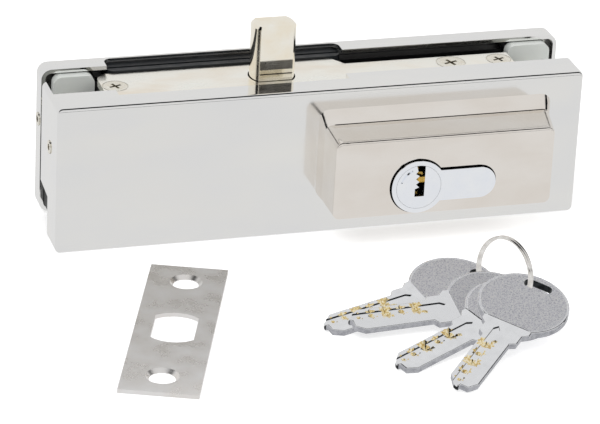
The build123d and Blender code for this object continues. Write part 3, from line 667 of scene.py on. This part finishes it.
def ease(target, width, angle, slot=-1):
    """Rounds the edges sharper than an angle, by a width in mm, with a slot for the new faces."""
    pick(target)
    change = target.modifiers.new("ease", "BEVEL")
    change.width = width * MM
    change.segments = 3
    change.limit_method = "ANGLE"
    change.angle_limit = math.radians(angle)
    change.material = slot
    bpy.ops.object.modifier_apply(modifier=change.name)


def merge(target, other, operation):
    """Joins or cuts with another mesh, whose material stays on its faces, and removes it."""
    pick(target)
    change = target.modifiers.new("merge", "BOOLEAN")
    change.operation = operation
    change.solver = "EXACT"
    change.material_mode = "TRANSFER"
    change.object = other
    bpy.ops.object.modifier_apply(modifier=change.name)
    bpy.data.objects.remove(other)


def arc(centre, radius, start, stop, count):
    """Points along an arc, in mm, from one angle to another in degrees."""
    turns = [math.radians(start + (stop - start) * i / (count - 1)) for i in range(count)]
    return [(centre[0] + radius * math.cos(t), centre[1] + radius * math.sin(t)) for t in turns]


def dimple(x, y, radius, depth, flutes):
    """A cutter for one dimple: a cone whose rim is drawn in and out, so that flutes fan out."""
    bpy.ops.object.select_all(action="DESELECT")
    bpy.ops.mesh.primitive_cone_add(
        vertices=2 * flutes,
        radius1=DIMPLE_TIP * MM,
        radius2=(radius + DIMPLE_FLARE) * MM,
        depth=(depth + DIMPLE_RISE) * MM,
        location=(x * MM, y * MM, (BLADE_TOP - depth / 2 + DIMPLE_RISE / 2) * MM),
    )
    tool = bpy.context.object
    bpy.ops.object.transform_apply(location=True, rotation=True, scale=True)
    rim = [vertex for vertex in tool.data.vertices if vertex.co.z > BLADE_TOP * MM]
    for vertex in rim[1::2]:
        vertex.co.x = x * MM + (vertex.co.x - x * MM) * FLUTE_DRAW
        vertex.co.y = y * MM + (vertex.co.y - y * MM) * FLUTE_DRAW
    tool.data.materials.append(cut)
    return tool


# The head, a disc with one flat, has a fine line pressed round its rim.
flat_turn = math.degrees(math.acos(-HEAD_FLAT / HEAD_RADIUS))
key = slab(
    arc((0, 0), HEAD_RADIUS, -flat_turn, flat_turn, HEAD_POINTS),
    0,
    KEY_THICK,
    blasted,
    "key_blank",
)
repaint(key, blade, lambda face: abs(face.normal.z) < FACING)
ease(key, RIM_EASE, angle=60, slot=1)
last_turn = 360 - 360 / HEAD_POINTS
line = slab(
    arc((0, 0), RIM_LINE_OUTER, 0, last_turn, HEAD_POINTS),
    KEY_THICK - RIM_LINE_DEPTH,
    KEY_THICK + OVERSHOOT,
    blade,
    "line",
)
core = slab(
    arc((0, 0), RIM_LINE_INNER, 0, last_turn, HEAD_POINTS),
    KEY_THICK - OVERSHOOT,
    KEY_THICK + 2 * OVERSHOOT,
    blade,
    "core",
)
merge(line, core, "DIFFERENCE")
merge(key, line, "DIFFERENCE")

# The blade steps down to its neck and ends in two half tips, the far one longer, its end
# face near black as a painted dark reflection.
shoulder = ((-9.5, 7.5), (-12.6, 7.5), (-14.2, 5.9), (-18.0, 5.9), (-19.2, 4.25))
tips = (
    (-40.2, 4.25),
    (-43.4, 1.85),
    (-43.8, 1.05),
    (-43.8, 0.2),
    (-43.0, 0.0),
    (-43.0, -2.45),
    (-40.1, -4.25),
)
near_shoulder = tuple((x, -y) for x, y in reversed(shoulder))
far = slab(shoulder + tips + near_shoulder, KEY_STEP, BLADE_TOP, blade, "blade")
# Painted dark reflection: the far tip's end face takes the near-black material.
repaint(
    far, painted_darkness, lambda face: face.center.x < TIP_START * MM and face.normal.x < -FACING
)
ease(far, BLADE_EASE, angle=50)

# The milled groove: a bright flat floor between two steep walls, near black as painted shade.
groove = slab(
    (
        (GROOVE_TIP, GROOVE_NEAR),
        (GROOVE_TIP, GROOVE_FAR),
        (GROOVE_END, GROOVE_FAR),
        (GROOVE_POINT, GROOVE_MIDDLE),
        (GROOVE_END, GROOVE_NEAR),
    ),
    BLADE_TOP - GROOVE_DEPTH,
    BLADE_TOP + OVERSHOOT,
    painted_darkness,
    "groove",
)
repaint(groove, blade, lambda face: abs(face.normal.z) > FACING)
merge(far, groove, "DIFFERENCE")
for x, y, radius, depth, flutes in DIMPLES:
    merge(far, dimple(x, y, radius, depth, flutes), "DIFFERENCE")
merge(key, far, "UNION")

# Every steep wall of the blank is a sheared edge, duller than the faces, and coloured darker
# as painted shade.
repaint(
    key,
    sheared_and_shade,
    lambda face: abs(face.normal.z) < STEEP
    and key.data.materials[face.material_index] == blade,
)

# The hole for the ring is a slot punched across the head, its walls near black as
# painted shade.
far_end = arc((RING_SLOT_X, RING_SLOT_FAR), RING_SLOT_RADIUS, 0, 180, RING_SLOT_POINTS)
near_end = arc((RING_SLOT_X, RING_SLOT_NEAR), RING_SLOT_RADIUS, 180, 360, RING_SLOT_POINTS)
hole = slab(far_end + near_end, -OVERSHOOT, KEY_THICK + OVERSHOOT, painted_darkness, "hole")
merge(key, hole, "DIFFERENCE")
pick(key)
bpy.ops.object.shade_smooth_by_angle(angle=math.radians(12))

# The four keys: they too are left out of mirror images.
for number, (x, y, z, heading, tilt, roll) in enumerate(KEY_PLACES, 1):
    pick(key)
    bpy.ops.object.duplicate()
    copy = bpy.context.object
    copy.name = f"dimple_key_{number}"
    copy.data.name = copy.name
    copy.data.transform(
        Matrix.Translation((x * MM, y * MM, z * MM))
        @ Matrix.Rotation(math.radians(heading), 4, "Z")
        @ Matrix.Rotation(math.radians(-tilt), 4, "Y")
        @ Matrix.Rotation(math.radians(roll), 4, "X")
    )
    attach(copy, "key_set")
    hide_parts(f"key_{number}")
    copy.visible_glossy = False
bpy.data.objects.remove(key)

# Key ring: polished spring steel wire, wound into two turns, threaded through the keys' slots
# and, like them, left out of mirror images.
wire = finish(
    "polished_spring_wire",
    (0.6, 0.001),
    (2, 0.1, 0.2),
    (0.3, "#dbd7d2"),
    (0.7, "#f9f7f4"),
)
dress(wire, "key_ring")
nodes["key_ring"].visible_glossy = False
